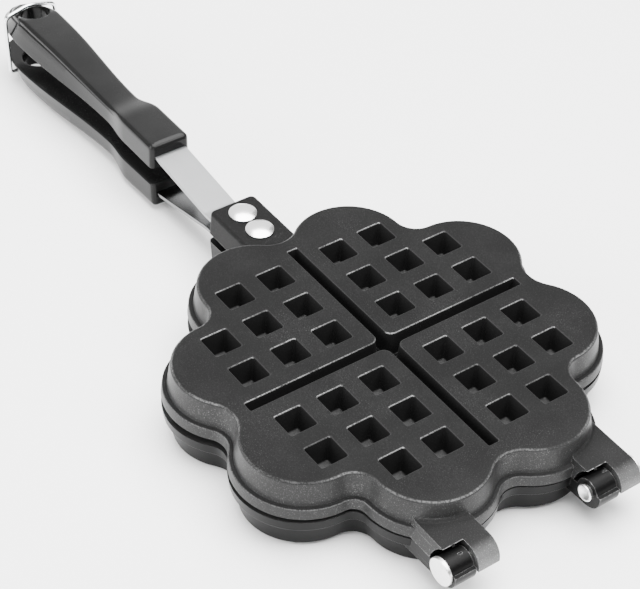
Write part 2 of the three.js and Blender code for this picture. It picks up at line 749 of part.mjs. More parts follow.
// A hinge pin along Y, its head at the outer side and its set tail at the inner one
function hingePin(joint) {
  const outward = Math.sign(joint);
  const reach = knuckleSideGap / 2 + knuckleWidth + seatGap;
  const [headSeat, tailSeat] = [reach, -reach];
  const headEnd = headSeat + pinHeadHeight;
  const tailEnd = tailSeat - pinTailHeight;
  const body = turned([
    [0, tailEnd + pinTailDimple],
    [pinTailRadius / 2, tailEnd + pinTailDimple / 2],
    [pinTailRadius - pinHeadEdge, tailEnd],
    [pinTailRadius, tailEnd + pinHeadEdge],
    [pinRadius, tailSeat],
    [pinRadius, headSeat],
    [pinHeadRadius, headSeat],
    [pinHeadRadius, headEnd - pinHeadEdge],
    [pinHeadRadius - pinHeadEdge, headEnd],
    [0, headEnd],
  ]);
  return body.rotate([-90 * outward, 0, 0]).translate(hingeAxis, joint, 0);
}

// A polyline in Y and Z whose corners are rounded, as a path for the wire
function wirePath() {
  const path = new THREE.CurvePath();
  const half = bailLegGap / 2;
  const foot = half - wire / 2 - seatGap - bailSeatDepth;
  const top = bailLegLength;
  const corners = [
    { y: -foot, z: 0, bend: 0 },
    { y: -half, z: 0, bend: bailFootBend },
    { y: -half, z: top, bend: bailBend },
    { y: 0, z: top + bailArch, bend: bailBend },
    { y: half, z: top, bend: bailBend },
    { y: half, z: 0, bend: bailFootBend },
    { y: foot, z: 0, bend: 0 },
  ].map(({ y, z, bend }) => ({ point: new THREE.Vector3(0, y, z), bend }));
  let start = corners[0].point;
  for (let i = 1; i < corners.length; i++) {
    const { point, bend } = corners[i];
    const next = corners[i + 1]?.point;
    const back = start.clone().sub(point).setLength(bend);
    const bendStart = point.clone().add(back);
    path.add(new THREE.LineCurve3(start, bendStart));
    if (!next) break;
    const bendEnd = point.clone().add(next.clone().sub(point).setLength(bend));
    path.add(new THREE.QuadraticBezierCurve3(bendStart, point, bendEnd));
    start = bendEnd;
  }
  return path;
}

function bail() {
  const section = new THREE.Shape(arc(0, 0, wire / 2, 0, 2 * Math.PI, wireSides).slice(0, -1));
  const sweep = { steps: bailSteps, bevelEnabled: false, extrudePath: wirePath() };
  return solid(new THREE.ExtrudeGeometry(section, sweep));
}

// Strap, grip and rivets of one pan, in that pan's own frame
function arm(side) {
  const isLower = side === 'lower';
  const bend = { rise: strapRise[side], sag: isLower ? lowerArmSag : 0 };
  const group = new THREE.Group();
  group.add(meshOf(`${side}_strap`, strap(bend), satinSteel));
  for (const [place, x] of Object.entries(rivetPlaces)) {
    const mesh = meshOf(`${side}_rivet_${place}`, rivet(), aluminium);
    mesh.position.x = -x;
    group.add(mesh);
  }
  const gripFrame = new THREE.Group();
  gripFrame.position.copy(nosePlace(bend));
  gripFrame.rotation.y = THREE.MathUtils.degToRad(bend.sag);
  gripFrame.add(meshOf(`${side}_handle`, grip(isLower), phenolic));
  if (isLower) {
    const wireBail = meshOf('bail', bail(), brightSteel);
    wireBail.position.set(-bailPlace, 0, bailSeat);
    wireBail.rotation.x = Math.PI;
    gripFrame.add(wireBail);
  }
  return group.add(gripFrame);
}

function waffleIron() {
  const casting = panCasting();

  const lower = new THREE.Group();
  lower.rotation.x = Math.PI;
  lower.add(meshOf('lower_pan', casting, castLower), arm('lower'));

  const upper = new THREE.Group();
  upper.add(meshOf('upper_pan', casting, castDark), arm('upper'));
  const hinge = new THREE.Group();
  upper.position.x = -hingeAxis;
  hinge.position.x = hingeAxis;
  hinge.rotation.y = THREE.MathUtils.degToRad(openAtRest);
  hinge.add(upper);

  const pins = new THREE.Group();
  pins.add(meshOf('hinge_pin_left', hingePin(-hingeSpread), aluminium));
  pins.add(meshOf('hinge_pin_right', hingePin(hingeSpread), aluminium));

  const iron = new THREE.Group();
  iron.add(lower, hinge, pins);
  iron.updateMatrixWorld(true);
  const box = new THREE.Box3().setFromObject(iron, true);
  const middle = box.getCenter(new THREE.Vector3());
  iron.position.set(-middle.x, -middle.y, -box.min.z);
  return iron;
}

export default waffleIron();
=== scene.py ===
import bpy
import numpy as np
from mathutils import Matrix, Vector


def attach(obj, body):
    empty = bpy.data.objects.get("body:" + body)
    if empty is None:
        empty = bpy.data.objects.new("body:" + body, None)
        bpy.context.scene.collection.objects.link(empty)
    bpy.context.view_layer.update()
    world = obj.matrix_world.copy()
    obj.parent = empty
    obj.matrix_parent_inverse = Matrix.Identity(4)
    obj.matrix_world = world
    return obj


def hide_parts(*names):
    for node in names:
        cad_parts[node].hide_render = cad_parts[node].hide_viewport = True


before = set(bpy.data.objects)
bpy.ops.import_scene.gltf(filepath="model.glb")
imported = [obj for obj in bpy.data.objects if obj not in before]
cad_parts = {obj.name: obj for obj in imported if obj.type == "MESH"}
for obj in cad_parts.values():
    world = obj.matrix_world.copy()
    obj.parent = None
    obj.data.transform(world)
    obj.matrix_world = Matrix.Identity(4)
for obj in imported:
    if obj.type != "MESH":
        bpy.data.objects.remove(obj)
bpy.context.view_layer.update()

# Two pans. Each is the same die-cast aluminium piece: a flower-shaped plate with a drafted wall and flange,
# hollow pegs and ribs on its mould side, a strap lug and two hinge lugs. The lower one lies turned over. The
# mould side has a non-stick coat, the outside a dark, finely grained skin, rubbed bright at its edges.
millimetre = 0.001
right_angle = np.pi / 2

petal_count = 8
petal_centre_radius = 62.9
petal_radius = 25
divider_notch_fillet = 13
heart_notch_fillet = 9.5
petal_steps = 30
notch_steps = 10

pan_height = 15.8
plate_thickness = 3
seam_edge = 0.3
flange_height = 4.9
flange_spread = 3.83
flange_draft = 0.4
flange_edge = 0.6
flange_reach = 87
wall_draft = 1.3
cove = 0.7
top_edge = 1.4
cavity_mouth = -1.1
cavity_draft = 1.6
cavity_fillet = 1.6
past_face = 2

peg_pitch = 20
first_peg = 16
rows_per_heart = 3
pocket_width = 12.9
pocket_corner = 0.9
pocket_slope = 0.14
pocket_mouth = 0.4
pocket_floor = 4.9
pocket_floor_fillet = 0.8
peg_wall = 2.1
peg_tip = 2.5
peg_tip_edge = 0.7
peg_foot_fillet = 1.4

groove_width = 4.8
groove_length = 135.6
groove_slope = 0.07
groove_fillet = 3.6
groove_end_corner = 0.6
groove_floor = 3
rib_wall = 2.3
rib_tip = 0.8
rib_tip_edge = 0.6

lug_length = 114.016
lug_width = 23
lug_flare = 1.4
lug_top = 10.1
lug_edge = 1.6
lug_corner = 2.6
lug_sink = 1
lug_sink_start = 83
lug_foot_width = 36
lug_foot_length = 15
lug_foot_edge = 0.8
seat_gap = 0.3
strap_width = 16
strap_thickness = 2
strap_inner_end = 84.416
rivet_places = {"inner": 91.416, "outer": 104.616}
rivet_shank = 4.6

hinge_axis = 96
hinge_spread = 35
hinge_root = 68
hinge_seam_gap = 0.2
knuckle_width = 10
knuckle_side_gap = 1
knuckle_radius = 7.2
knuckle_milled_radius = 5.6
knuckle_wrap = 1.4
knuckle_edge = 0.45
knuckle_edge_angle = np.radians(40)
root_fillet = 1.8
root_sink = 0.05
notch_radius = 7.8
notch_side_width = 8.9
notch_side_flare = 2
punch_places = ((0.8, 38.7), (-0.8, -33.0))
punch_width = 0.9
punch_length = 2.1
punch_depth = 0.35
pin_radius = 3

hinge_line = 201.3837
seam_level = 16.983
open_at_rest = np.radians(1.8)
outside, hollow, mould = range(3)

patch_size = 22.0
grain_depth = 0.05
rim_line = 15.5
rim_line_width = 0.32
flange_line = 4.7
flange_line_width = 0.22
flange_line_share = 0.6
worn_edge = 0.5
worn_polish = 0.15
lug_fade = 1
lug_standing = 0.15
lug_light_share = 0.08


def joined(node, inputs):
    """Joins each input of a node to a socket, or sets it to a value."""
    for name, value in inputs.items():
        if isinstance(value, bpy.types.NodeSocket):
            node.id_data.links.new(value, node.inputs[name])
        else:
            node.inputs[name].default_value = value
    return node


def wire(kind, inputs, **settings):
    """Adds one node, with its settings and its inputs, to the tree that one of its inputs comes from."""
    tree = next(value.id_data for value in inputs.values() if isinstance(value, bpy.types.NodeSocket))
    made = tree.nodes.new("ShaderNode" + kind)
    for name, value in settings.items():
        setattr(made, name, value)
    return joined(made, inputs)


def maths(operation, *values):
    """The value that an operation gives for one or two numbers or sockets."""
    return wire("Math", dict(enumerate(values)), operation=operation).outputs[0]


def product(first, second):
    """One value times another."""
    return maths("MULTIPLY", first, second)


def total(first, second):
    """One value plus another."""
    return maths("ADD", first, second)


def rest_of(share):
    """One less a share."""
    return maths("SUBTRACT", 1, share)


def ramp(value, low, high):
    """A value eased from nothing at the low end to one at the high end."""
    return wire("MapRange", {"Value": value, "From Min": low, "From Max": high},
                interpolation_type="SMOOTHSTEP").outputs["Result"]


def between(share, first, second):
    """A number part of the way from the first to the second."""
    return wire("MapRange", {"Value": share, "To Min": first, "To Max": second}).outputs["Result"]


def blended(share, first, second):
    """A colour part of the way from the first to the second. Sockets 6, 7 and 2 of the node are colours."""
    return wire("Mix", {"Factor": share, 6: first, 7: second}, data_type="RGBA").outputs[2]


def grey(level, warmth=0.0):
    """A colour of one lightness, warmed or cooled a little."""
    return (level * (1 + warmth), level, level * (1 - warmth), 1)


def axis_of(vector, axis):
    """One part of a vector: X, Y or Z."""
    return wire("SeparateXYZ", {0: vector}).outputs[axis]


def noise(place, scale, detail, roughness=0.5):
    """Smooth noise with so many waves to a metre, the number of its finer layers and their weight."""
    inputs = {"Vector": place, "Scale": scale, "Detail": detail, "Roughness": roughness}
    return wire("TexNoise", inputs).outputs[0]


def bumped(height, strength, depth):
    """The normal that a height gives, with its depth in millimetres."""
    return wire("Bump", {"Height": height, "Strength": strength, "Distance": depth * millimetre}).outputs[0]


def effect(name, inputs, outputs):
    """A named group of nodes: its tree, its incoming sockets and the node that takes what it puts out."""
    tree = bpy.data.node_groups.new(name, "ShaderNodeTree")
    for label, value in inputs.items():
        kind = "NodeSocketVector" if value is None else "NodeSocketFloat"
        socket = tree.interface.new_socket(label, in_out="INPUT", socket_type=kind)
        if value is not None:
            socket.default_value = value
    for label in outputs:
        tree.interface.new_socket(label, in_out="OUTPUT", socket_type="NodeSocketFloat")
    return tree, tree.nodes.new("NodeGroupInput").outputs, tree.nodes.new("NodeGroupOutput")


def used(group, inputs):
    """The outgoing sockets of a group placed in a tree."""
    return wire("Group", inputs, node_tree=group).outputs


def cast_skin():
    """Fine grain and pits for the height, slow clouds for the tone, and the highest grains as specks."""
    tree, given, result = effect("cast_skin", {"Place": None, "Grain": 0.5, "Cloud": patch_size},
                                 ["Height", "Tone", "Speck"])
    fine_scale = maths("DIVIDE", 1 / millimetre, given["Grain"])
    cloud_scale = maths("DIVIDE", 1 / millimetre, given["Cloud"])
    fine = noise(given["Place"], fine_scale, detail=3, roughness=0.6)
    cloud = noise(given["Place"], cloud_scale, detail=4, roughness=0.55)
    pits = wire("TexVoronoi", {"Vector": given["Place"], "Scale": fine_scale}).outputs["Distance"]
    height = total(fine, product(pits, 0.6))
    joined(result, {"Height": height, "Tone": cloud, "Speck": ramp(fine, low=0.55, high=0.75)})
    return tree


def worn_and_highlit_band():
    """A thin band round one height of the casting, broken up by fine chips and by slow gaps."""
    chip_scale, gap_scale, gap_blur = 1500, 55, 0.16
    inputs = {"Place": None, "Level": 0.0, "Width": rim_line_width * millimetre, "Gaps": 0.5}
    tree, given, result = effect("worn_and_highlit_band", inputs, ["Mask"])
    away = maths("SUBTRACT", axis_of(given["Place"], "Z"), given["Level"])
    away = maths("ABSOLUTE", away)
    band = rest_of(ramp(away, low=product(given["Width"], 0.4), high=given["Width"]))
    chips = ramp(noise(given["Place"], chip_scale, detail=3), low=0.35, high=0.62)
    gap_start = maths("SUBTRACT", given["Gaps"], gap_blur)
    gap_end = total(given["Gaps"], gap_blur)
    gaps = ramp(noise(given["Place"], gap_scale, detail=2), gap_start, gap_end)
    broken = product(total(0.25, chips), total(0.2, gaps))
    joined(result, {"Mask": product(band, broken)})
    return tree


def edge_wear():
    """How near a point lies to an edge, broken up by chips: the normal that is rounded over a radius leans
    away from the face's own, and the product of the two falls short of one."""
    chip_scale = 900
    tree, given, result = effect("edge_wear", {"Place": None, "Radius": worn_edge * millimetre}, ["Mask"])
    rounded_normal = wire("Bevel", {"Radius": given["Radius"]}, samples=6).outputs["Normal"]
    own_normal = tree.nodes.new("ShaderNodeNewGeometry").outputs["Normal"]
    agreed = wire("VectorMath", {0: rounded_normal, 1: own_normal}, operation="DOT_PRODUCT")
    edge = ramp(rest_of(agreed.outputs["Value"]), low=0.04, high=0.22)
    chips = ramp(noise(given["Place"], chip_scale, detail=3), low=0.3, high=0.65)
    joined(result, {"Mask": product(edge, chips)})
    return tree


def standing_share():
    """How far a surface stands upright, from its normal: nothing on a flat face, one on a wall."""
    tree, given, result = effect("standing_share", {"Normal": None}, ["Share"])
    level = maths("ABSOLUTE", axis_of(given["Normal"], "Z"))
    joined(result, {"Share": rest_of(ramp(level, low=0.25, high=0.9))})
    return tree


skin_effect = cast_skin()
band_effect = worn_and_highlit_band()
standing_effect = standing_share()
edge_effect = edge_wear()


def material(name):
    """An empty material, its shader, and the coordinates that its patterns may follow."""
    made = bpy.data.materials.new(name)
    made.use_nodes = True
    nodes = made.node_tree.nodes
    return made, nodes["Principled BSDF"], nodes.new("ShaderNodeTexCoord").outputs


def casting_finish(name, flat, wall, rub_and_highlight_grey, grain, rough, metal, shine, line_wear_and_highlight, bump, speck, wall_speck=1.0,
                   edge_share=0.0, knuckle_light_share=0.0, highlight_one_sided=0.0, bare_floor=0.0):
    """The finish of a cast face. Its skin, roughness, metal and specks change from a flat face to a standing
    wall. Over the skin lie, in this order, painted light on the knuckles' fronts and faintly along the hinge
    lugs, specks, bare metal on deep floors, and the wear of edges and of thin lines round the rim and the
    flange. A one-sided rim band is a painted highlight, kept only where the surface faces the hinges and the
    light."""
    made, shader, given = material(name)
    kept = made.node_tree.nodes.new("ShaderNodeAttribute")
    kept.attribute_name = "cast_place"
    place = kept.outputs["Vector"]
    marks = used(skin_effect, {"Place": place, "Grain": grain, "Cloud": patch_size})
    tone, along = marks["Tone"], axis_of(place, "X")

    def reached(value, start, end):
        return ramp(value, start * millimetre, end * millimetre)

    def line(level, width, gaps):
        return used(band_effect, {"Place": place, "Level": level * millimetre, "Width": width * millimetre,
                                  "Gaps": gaps})["Mask"]

    on_pan = reached(along, -flange_reach - lug_fade, -flange_reach)
    before_knuckles = rest_of(reached(along, flange_reach, flange_reach + lug_fade))
    standing = used(standing_effect, {"Normal": given["Normal"]})["Share"]
    standing = product(standing, between(on_pan, lug_standing, 1))

    # Painted highlight: where the rim is one-sided, its band stays only on surfaces that face +X, the side
    # the light falls from
    facing_light = ramp(axis_of(given["Normal"], "X"), low=0.1, high=0.5)
    rim = line(rim_line, rim_line_width, gaps=0.5)
    rim = product(rim, between(facing_light, 1 - highlight_one_sided, 1))
    flange = line(flange_line, flange_line_width, gaps=0.4)
    flange = product(product(flange, before_knuckles), on_pan)
    lines = total(rim, product(flange, flange_line_share))
    edges = used(edge_effect, {"Place": place, "Radius": worn_edge * millimetre})["Mask"]
    worn_and_highlit = total(product(lines, line_wear_and_highlight), product(edges, edge_share))

    # Painted light: lighter over the knuckles' fronts, which face the light from +X, and faintly along the
    # hinge lugs towards them
    root = product(reached(along, hinge_root, hinge_axis), lug_light_share)
    painted_knuckle_light = total(reached(along, hinge_axis, hinge_axis + knuckle_radius), root)
    painted_knuckle_light = product(painted_knuckle_light, between(tone, 0.2 * knuckle_light_share, 1.8 * knuckle_light_share))
    painted_knuckle_light = product(painted_knuckle_light, between(marks["Speck"], 0.75, 2))
    flecks = product(marks["Speck"], between(standing, speck, speck * wall_speck))
    flecks = product(flecks, between(ramp(tone, low=0.52, high=0.66), 0.7, 1.5))
    above_floor = reached(axis_of(place, "Z"), pocket_floor, pocket_floor + pocket_floor_fillet)
    bare = product(rest_of(above_floor), bare_floor)

    flat_colour = blended(tone, grey(flat * 0.8), grey(flat * 1.25))
    wall_colour = blended(tone, grey(wall * 0.75), grey(wall * 1.25))
    colour = blended(standing, flat_colour, wall_colour)
    for share in (painted_knuckle_light, flecks, bare, worn_and_highlit):
        colour = blended(share, colour, grey(rub_and_highlight_grey))
    roughness = maths("SUBTRACT", between(standing, *rough), product(worn_and_highlit, worn_polish))
    metallic = maths("MAXIMUM", between(standing, *metal), worn_and_highlit)
    joined(shader, {"Base Color": colour, "Roughness": roughness, "Metallic": metallic,
                    "Normal": bumped(marks["Height"], bump, grain_depth), "Specular IOR Level": shine})
    return made


charcoal = casting_finish(
    "charcoal_casting", flat=0.0035, wall=0.024, rub_and_highlight_grey=0.4, grain=0.45, rough=(0.58, 0.42), metal=(0, 0.55),
    shine=0.07, line_wear_and_highlight=0.16, bump=0.9, speck=0.06, wall_speck=4.0, edge_share=0.5, knuckle_light_share=0.25)
# The upper pan's hollows: their walls are coloured far darker than the outer walls, and not metallic, as
# painted shade for the recesses; the band round their mouths is a painted highlight
charcoal_hollow_painted_shade = casting_finish(
    "charcoal_hollow_painted_shade", flat=0.01, wall=0.005, rub_and_highlight_grey=0.4, grain=0.5, rough=(0.5, 0.8), metal=(0, 0),
    shine=0.1, line_wear_and_highlight=0.7, bump=0.5, speck=0.02, highlight_one_sided=1.0, bare_floor=0.035)
black = casting_finish(
    "black_casting", flat=0.002, wall=0.002, rub_and_highlight_grey=0.3, grain=0.6, rough=(0.4, 0.3), metal=(0, 0),
    shine=0.08, line_wear_and_highlight=0.1, bump=0.35, speck=0.02, edge_share=0.7)
black_hollow = casting_finish(
    "black_hollow", flat=0.006, wall=0.004, rub_and_highlight_grey=0.1, grain=0.6, rough=(0.5, 0.6), metal=(0, 0),
    shine=0.2, line_wear_and_highlight=0.25, bump=0.4, speck=0.03)
coated = casting_finish(
    "non_stick_coat", flat=0.014, wall=0.012, rub_and_highlight_grey=0.05, grain=0.35, rough=(0.36, 0.34), metal=(0, 0),
    shine=0.4, line_wear_and_highlight=0.2, bump=0.5, speck=0.06)


def arc(x, y, radius, start, end, steps):
    """Points on a circle: the middle plus the radius times the cosine and sine of even angles."""
    angle = np.linspace(start, end, steps + 1)
    return np.stack([x + radius * np.cos(angle), y + radius * np.sin(angle)], axis=1)


def circle(x, y, radius, steps):
    """A whole turn of such points."""
    return arc(x, y, radius, 0, 4 * right_angle, steps)[:-1]


def rectangle(x0, x1, y0, y1):
    """The four corners of a rectangle."""
    return np.array([(x0, y0), (x1, y0), (x1, y1), (x0, y1)], float)


def rounded_rectangle(half_x, half_y, corner, steps):
    """A quarter circle at each corner of a rectangle."""
    x, y = half_x - corner, half_y - corner
    return np.concatenate([arc(middle_x, middle_y, corner, i * right_angle, (i + 1) * right_angle, steps)
                           for i, (middle_x, middle_y) in enumerate([(x, y), (-x, y), (-x, -y), (x, -y)])])


def at_height(outline, height):
    """A flat outline lifted to one height."""
    return np.column_stack([outline, np.full(len(outline), float(height))])


def skin(rings):
    """A closed skin: point i of ring k is row k, column i of a grid, four neighbours make a face, and the
    first and the last ring are closed by one face each."""
    rings = np.asarray(rings, float)
    levels, count = rings.shape[:2]
    k, i = np.meshgrid(np.arange(levels - 1), np.arange(count), indexing="ij")
    a, b = k * count + i, k * count + (i + 1) % count
    quads = np.stack([a, b, b + count, a + count], axis=-1).reshape(-1, 4)
    first, last = np.arange(count)[::-1], np.arange(count) + (levels - 1) * count
    return rings.reshape(-1, 3), quads.tolist() + [first.tolist(), last.tolist()]


def stacked(outline, levels):
    """A skin of the outlines that a size gives, each lifted to the height it is paired with."""
    return skin([at_height(outline(size), height) for height, size in levels])


def slab(outline, low, high):
    """A flat outline carried straight up from one height to another."""
    return skin([at_height(outline, low), at_height(outline, high)])


def sideways(outline, near, far):
    """An outline in X and Z carried along Y."""
    points, faces = slab(np.asarray(outline)[::-1], near, far)
    return points[:, [0, 2, 1]], faces


def moved(shell, x, y):
    """A skin moved as a whole."""
    points, faces = shell
    return points + np.array([x, y, 0]), faces


def gathered(shells):
    """Several skins that stand apart, as one set of points and faces."""
    starts = np.cumsum([0] + [len(points) for points, _ in shells])
    faces = [[int(start) + i for i in face] for start, (_, some) in zip(starts, shells) for face in some]
    return np.concatenate([points for points, _ in shells]), faces


def bevel_rings(radius, steps=5):
    """A quarter round in even angles: how far it has come sideways and how far upward."""
    angle = np.linspace(0, right_angle, steps + 1)
    return list(zip(radius * (1 - np.cos(angle)), radius * np.sin(angle)))


def rounded(height, size, radius, steps=5, upward=1, outward=-1):
    """Heights and sizes of a quarter round that leaves an upright side at one height, upward or downward,
    and turns inward, or outward where it says so. They are listed from the lowest to the highest."""
    levels = [(height + upward * up, size + outward * side) for side, up in bevel_rings(radius, steps)]
    return levels[::upward]


def body(name, shell, finishes=(charcoal, charcoal_hollow_painted_shade, coated), finish=outside):
    """A mesh of millimetre points and faces, in metres, with one of its finishes all over."""
    points, faces = shell
    mesh = bpy.data.meshes.new(name)
    mesh.from_pydata((np.asarray(points) * millimetre).tolist(), [], faces)
    for made in finishes:
        mesh.materials.append(made)
    mesh.polygons.foreach_set("material_index", np.full(len(mesh.polygons), finish, np.int32))
    mesh.update()
    obj = bpy.data.objects.new(name, mesh)
    bpy.context.scene.collection.objects.link(obj)
    return obj


def worked(obj, kind, **settings):
    """Applies one modifier to an object's mesh."""
    modifier = obj.modifiers.new(kind.lower(), kind)
    for name, value in settings.items():
        setattr(modifier, name, value)
    depsgraph = bpy.context.evaluated_depsgraph_get()
    old, new = obj.data, bpy.data.meshes.new_from_object(obj.evaluated_get(depsgraph))
    obj.modifiers.clear()
    obj.data = new
    bpy.data.meshes.remove(old)
    return obj


def combined(obj, operation, tool):
    """An object with a tool added to it or cut out of it. The tool is used up."""
    worked(obj, "BOOLEAN", operation=operation, solver="MANIFOLD", object=tool)
    bpy.data.objects.remove(tool)
    return obj


def notch(index):
    """The rounded notch before a petal: even ones end a divider, odd ones part the two lobes of a heart. Its
    circle touches both petals, so its middle lies at the top of a triangle on the two petal middles."""
    fillet = heart_notch_fillet if index % 2 else divider_notch_fillet
    half_step = np.pi / petal_count
    spread = np.arccos(petal_centre_radius * np.sin(half_step) / (petal_radius + fillet))
    distance = petal_centre_radius * np.cos(half_step) + (petal_radius + fillet) * np.sin(spread)
    return fillet, spread, distance, 2 * half_step * index


def flower(growth):
    """Eight petal arcs joined by concave notch arcs, all moved outward by one growth."""
    half_step = np.pi / petal_count
    lean = right_angle + half_step
    points = []
    for petal in range(petal_count):
        before, after = notch(petal), notch(petal + 1)
        heading = half_step * (2 * petal + 1)
        x, y = petal_centre_radius * np.cos(heading), petal_centre_radius * np.sin(heading)
        start, end = heading - lean + before[1], heading + lean - after[1]
        points.append(arc(x, y, petal_radius + growth, start, end, petal_steps))
        fillet, spread, distance, angle = after
        half = right_angle - spread
        x, y = distance * np.cos(angle), distance * np.sin(angle)
        start, end = angle + np.pi + half, angle + np.pi - half
        points.append(arc(x, y, fillet - growth, start, end, notch_steps)[1:-1])
    return np.concatenate(points)


def notch_reach(growth):
    """How far a divider's notch stands from the pan's middle."""
    fillet, _, distance, _ = notch(0)
    return distance - fillet + growth


def pan_outside():
    """Flower outlines stacked from the seam: a small edge, the flange, its round, the cove, the wall, the
    round of the rim."""
    levels = rounded(seam_edge, flange_spread, seam_edge, steps=3, upward=-1)
    levels += rounded(flange_height - flange_edge, flange_spread - flange_draft, flange_edge, steps=4)
    levels += [(flange_height + side, wall_draft + cove - up) for side, up in bevel_rings(cove, steps=4)]
    levels += rounded(pan_height - top_edge, 0, top_edge, steps=7)
    return stacked(flower, levels)


def pan_cavity():
    """The mould's hollow: flower outlines from past the seam to a filleted floor."""
    floor = pan_height - plate_thickness
    slope = cavity_draft / floor
    levels = [(-past_face, cavity_mouth + slope * past_face)]
    levels += rounded(floor - cavity_fillet, cavity_mouth - slope * floor, cavity_fillet)
    return stacked(flower, levels)


def cross(half_width, half_length, fillet, corner):
    """One arm's end corners and its inner fillet, turned to all four sides."""
    inner = half_width + fillet
    arm = np.concatenate([
        arc(half_length - corner, corner - half_width, corner, -right_angle, 0, steps=3),
        arc(half_length - corner, half_width - corner, corner, 0, right_angle, steps=3),
        arc(inner, inner, fillet, -right_angle, -2 * right_angle, steps=8),
    ])
    turns = [np.array([[np.cos(a), np.sin(a)], [-np.sin(a), np.cos(a)]]) for a in right_angle * np.arange(4)]
    return np.concatenate([arm @ turn for turn in turns])


def hollow_levels(width, slope, bottom):
    """Heights and half widths of a drafted hollow, from its filleted floor to its rounded mouth."""
    half_at = lambda height: width / 2 - pocket_mouth - slope * (pan_height - height)
    levels = rounded(bottom + pocket_floor_fillet, half_at(bottom), pocket_floor_fillet, steps=3, upward=-1)
    levels += rounded(pan_height - pocket_mouth, half_at(pan_height), pocket_mouth, outward=1)
    return levels + [(pan_height + past_face, half_at(pan_height) + pocket_mouth)]


def wall_levels(width, slope, wall, tip, tip_edge):
    """Heights and half widths of the wall round a hollow: a rounded tip, drafted side and flared foot."""
    foot = pan_height - plate_thickness
    half_at = lambda height: width / 2 - slope * (pan_height - height) + wall
    levels = rounded(tip + tip_edge, half_at(tip), tip_edge, steps=4, upward=-1)
    levels += rounded(foot - peg_foot_fillet, half_at(foot), peg_foot_fillet, steps=4, outward=1)
    return levels + [(foot + plate_thickness / 2, half_at(foot) + peg_foot_fillet)]


def peg_places():
    """The middles of eight pegs in each heart: three rows of three without the outer corner."""
    steps = first_peg + peg_pitch * np.arange(rows_per_heart)
    quarter = [(x, y) for x in steps for y in steps if x + y < 2 * steps[-1]]
    return [(side_x * x, side_y * y) for side_x in (-1, 1) for side_y in (-1, 1) for x, y in quarter]


def mould_relief():
    """The pegs in one skin and the cross of ribs in another."""
    corner = pocket_corner + peg_wall / 2
    levels = wall_levels(pocket_width, pocket_slope, peg_wall, peg_tip, peg_tip_edge)
    peg = stacked(lambda half: rounded_rectangle(half, half, corner, steps=4), levels)
    reach = notch_reach(-top_edge) - rib_wall / 2
    levels = wall_levels(groove_width, groove_slope, rib_wall, rib_tip, rib_tip_edge)
    ribs = stacked(lambda half: cross(half, reach, groove_fillet, groove_end_corner), levels)
    return gathered([moved(peg, x, y) for x, y in peg_places()]), ribs


def outside_hollows():
    """Pockets of the pegs and the cross groove of the ribs, open at the outer face."""
    levels = hollow_levels(pocket_width, pocket_slope, pocket_floor)
    pocket = stacked(lambda half: rounded_rectangle(half, half, pocket_corner, steps=4), levels)
    levels = hollow_levels(groove_width + 2 * pocket_mouth, groove_slope, groove_floor)
    end = (groove_length - groove_width) / 2 - pocket_mouth
    groove = stacked(lambda half: cross(half, half + end, groove_fillet, groove_end_corner), levels)
    return gathered([moved(pocket, x, y) for x, y in peg_places()] + [groove])


def handle_lug():
    """Outlines of the lug stacked from its sunk foot to its rounded top edge."""
    front = notch_reach(-top_edge)

    def outline(height, inset):
        half = lug_width / 2 + lug_flare / 2 * (lug_top - height) / lug_top - inset
        rear, corner = inset - lug_length, lug_corner - inset
        return at_height(np.concatenate([
            arc(rear + corner, half - corner, corner, right_angle, 2 * right_angle, steps=6),
            arc(rear + corner, corner - half, corner, 2 * right_angle, 3 * right_angle, steps=6),
            [(-front, -half), (-front, half)],
        ]), height)

    levels = [(-lug_sink, 0)] + rounded(lug_top - lug_edge, 0, lug_edge, steps=7, outward=1)
    return skin([outline(height, inset) for height, inset in levels])


def root_round(x0, x1, y0, y1, level):
    """The concave round where a lug's flat runs into the wall: flower outlines that close in on the wall by
    a quarter circle as they rise, kept only above the lug."""
    lean = wall_draft / (pan_height - top_edge - flange_height - cove)
    wall_at = lambda height: lean * (pan_height - top_edge - height)
    rises = [(level - root_sink, root_fillet)]
    rises += [(level + across, root_fillet - up) for across, up in bevel_rings(root_fillet, steps=6)]
    fillet = body("fillet", stacked(flower, [(height, wall_at(height) + growth - root_sink)
                                             for height, growth in rises]))
    span = slab(rectangle(x0, x1, y0, y1), level - past_face, pan_height)
    return combined(fillet, "INTERSECT", body("span", span))


def hinge_lug(joint):
    """A knuckle with a cast outer half and a milled inner half on one side of the joint, and a plate with a
    round notch for the other pan's knuckle on the other side."""
    near = joint + knuckle_side_gap / 2
    far = near + knuckle_width
    cast = np.concatenate([
        [(hinge_axis, -knuckle_wrap), (hinge_axis + knuckle_radius, -knuckle_wrap)],
        arc(hinge_axis, 0, knuckle_radius, 0, right_angle, steps=14),
        [(hinge_root, knuckle_radius), (hinge_root, hinge_seam_gap), (hinge_axis, hinge_seam_gap)],
    ])
    milled = sideways(circle(hinge_axis, 0, knuckle_milled_radius, steps=48), near, far)
    lug = combined(body("knuckle", sideways(cast, near, far)), "UNION", body("milled", milled))
    edge = joint - notch_side_width
    section = [(edge - notch_side_flare, hinge_seam_gap), (near + knuckle_edge, hinge_seam_gap),
               (near + knuckle_edge, knuckle_radius), (edge, knuckle_radius)]
    points, faces = slab(section, hinge_root, hinge_axis)
    plate = body("plate", (points[:, [2, 0, 1]], faces))
    notched = circle(hinge_axis, 0, notch_radius, steps=48)
    notched = sideways(notched, edge - notch_side_flare - past_face, near)
    combined(lug, "UNION", combined(plate, "DIFFERENCE", body("notched", notched)))
    worked(lug, "BEVEL", width=knuckle_edge * millimetre, segments=3, limit_method="ANGLE",
           angle_limit=knuckle_edge_angle)
    root = root_round(hinge_root, hinge_axis, edge, far - knuckle_edge, knuckle_radius)
    return combined(lug, "UNION", root)


def rivet_holes(low, high):
    """Round holes for the rivets, from one height to another."""
    return [slab(circle(-place, 0, rivet_shank / 2 + seat_gap, steps=24), low, high)
            for place in rivet_places.values()]


